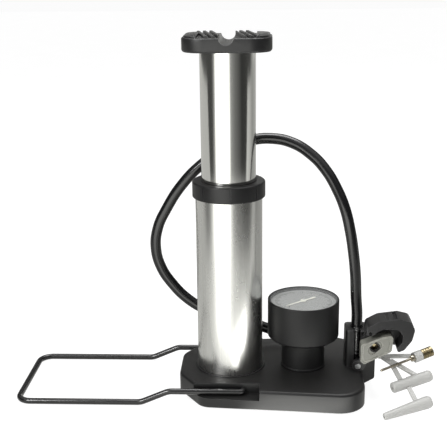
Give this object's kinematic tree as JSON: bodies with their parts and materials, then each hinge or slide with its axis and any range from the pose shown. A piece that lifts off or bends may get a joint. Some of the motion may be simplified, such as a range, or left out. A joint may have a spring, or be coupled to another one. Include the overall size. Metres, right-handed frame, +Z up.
{
  "type": "foot pump",
  "caption": "Small foot pump with a telescoping barrel on a flat base, pressure gauge, fold-out wire stirrup, hose with lever head and nozzle card",
  "frame": {"origin": "on the floor under the barrel axis, at the underside of the centre foot", "axes": "+Z up along the barrel, +X along the base towards the gauge and the head holder, +Y to the back, where the hose leaves the base"},
  "size_m": [0.3179, 0.1169, 0.271],
  "materials": {
    "black_plastic": "satin black moulded plastic",
    "inner_plastic": "plain moulded plastic",
    "barrel_metal": "polished aluminium tube",
    "tube_metal": "polished aluminium tube",
    "black_rubber": "black rubber",
    "steel": "plated steel",
    "brass": "plain brass",
    "dial": "printed dial",
    "needle": "pale paint",
    "lens": "clear lens",
    "wire_paint": "gloss black paint over steel wire",
    "hose": "smooth black hose",
    "grey_plastic": "grey moulded plastic",
    "white_plastic": "milky white plastic",
    "nickel": "nickel plating"
  },
  "bodies": {
    "root": {"base_housing": "black_plastic", "base_plate": "black_plastic", "base_screws": "steel", "rubber_feet": "black_rubber", "centre_foot": "black_rubber", "barrel_gasket": "black_rubber", "barrel": "barrel_metal", "collar": "black_plastic", "guide_bush": "inner_plastic", "tube_wiper": "black_rubber", "spring_seat": "steel", "check_valve_body": "brass", "check_valve_spring": "steel", "air_manifold": "inner_plastic", "return_spring": "steel", "gauge_neck": "black_plastic", "gauge_screws": "steel", "gauge_housing": "black_plastic", "gauge_stem": "brass", "gauge_socket": "brass", "bourdon_tube": "brass", "movement_frame": "brass", "gauge_dial": "dial", "gauge_stop_pin": "steel", "gauge_lens": "lens", "hose_barb": "black_plastic", "hose": "hose", "hose_ferrule": "nickel", "head_stem": "steel", "head_holder": "black_plastic", "holder_screws": "steel", "head_body": "black_plastic", "chuck_body": "grey_plastic", "chuck_gasket": "black_rubber", "lever_pin": "steel"},
    "pedal": {"piston_tube": "tube_metal", "piston": "inner_plastic", "piston_seal": "black_rubber", "tube_plug": "black_plastic", "pedal": "black_plastic", "pedal_pins": "steel"},
    "stirrup": {"stirrup": "wire_paint"},
    "lever": {"head_lever": "black_plastic"},
    "plunger": {"chuck_plunger": "brass"},
    "needle": {"gauge_spindle": "steel", "gauge_needle": "needle"},
    "sector": {"sector_gear": "brass"},
    "valve_disc": {"check_valve_disc": "black_rubber"},
    "card": {"accessory_card": "white_plastic", "ball_needle": "nickel", "needle_plug": "brass", "nozzle_stepped": "white_plastic", "nozzle_tapered": "white_plastic", "nozzle_link": "white_plastic"}
  },
  "joints": [
    {"name": "pedal_stroke", "type": "slide", "parent": "root", "child": "pedal", "axis": [0, 0, 1], "range_m": [-0.093, 0], "stiffness_N_per_m": 400, "springref_m": 0.03, "deforming": ["return_spring"]},
    {"name": "stirrup_fold", "type": "hinge", "parent": "root", "child": "stirrup", "pos_m": [0.011, 0, 0.0115], "axis": [0, 1, 0], "range_deg": [0, 75]},
    {"name": "valve_lever", "type": "hinge", "parent": "root", "child": "lever", "pos_m": [0.1055, -0.0152, 0.052], "axis": [0, -1, 0], "range_deg": [0, 85]},
    {"name": "plunger_slide", "type": "slide", "parent": "root", "child": "plunger", "axis": [0, -1, 0], "range_m": [0, 0.002]},
    {"name": "gauge_reading", "type": "hinge", "parent": "root", "child": "needle", "pos_m": [0.0565, 0, 0.067], "axis": [0, 0, -1], "range_deg": [0, 250]},
    {"name": "sector_swing", "type": "hinge", "parent": "root", "child": "sector", "pos_m": [0.0485, 0, 0.055], "axis": [0, 0, 1], "range_deg": [0, 30]},
    {"name": "check_valve", "type": "slide", "parent": "root", "child": "valve_disc", "axis": [0, 0, -1], "range_m": [0, 0.001], "stiffness_N_per_m": 20, "springref_m": -0.002, "deforming": ["check_valve_spring"]},
    {"name": "card_swing", "type": "hinge", "parent": "root", "child": "card", "pos_m": [0.1155, -0.0055, 0.03], "axis": [-1, 0, 0], "range_deg": [0, 20]}
  ],
  "couplings": [
    {"joint": "plunger_slide", "follows": "valve_lever", "m_per_rad": 0.0013481},
    {"joint": "gauge_reading", "follows": "sector_swing", "ratio": 8.333}
  ]
}
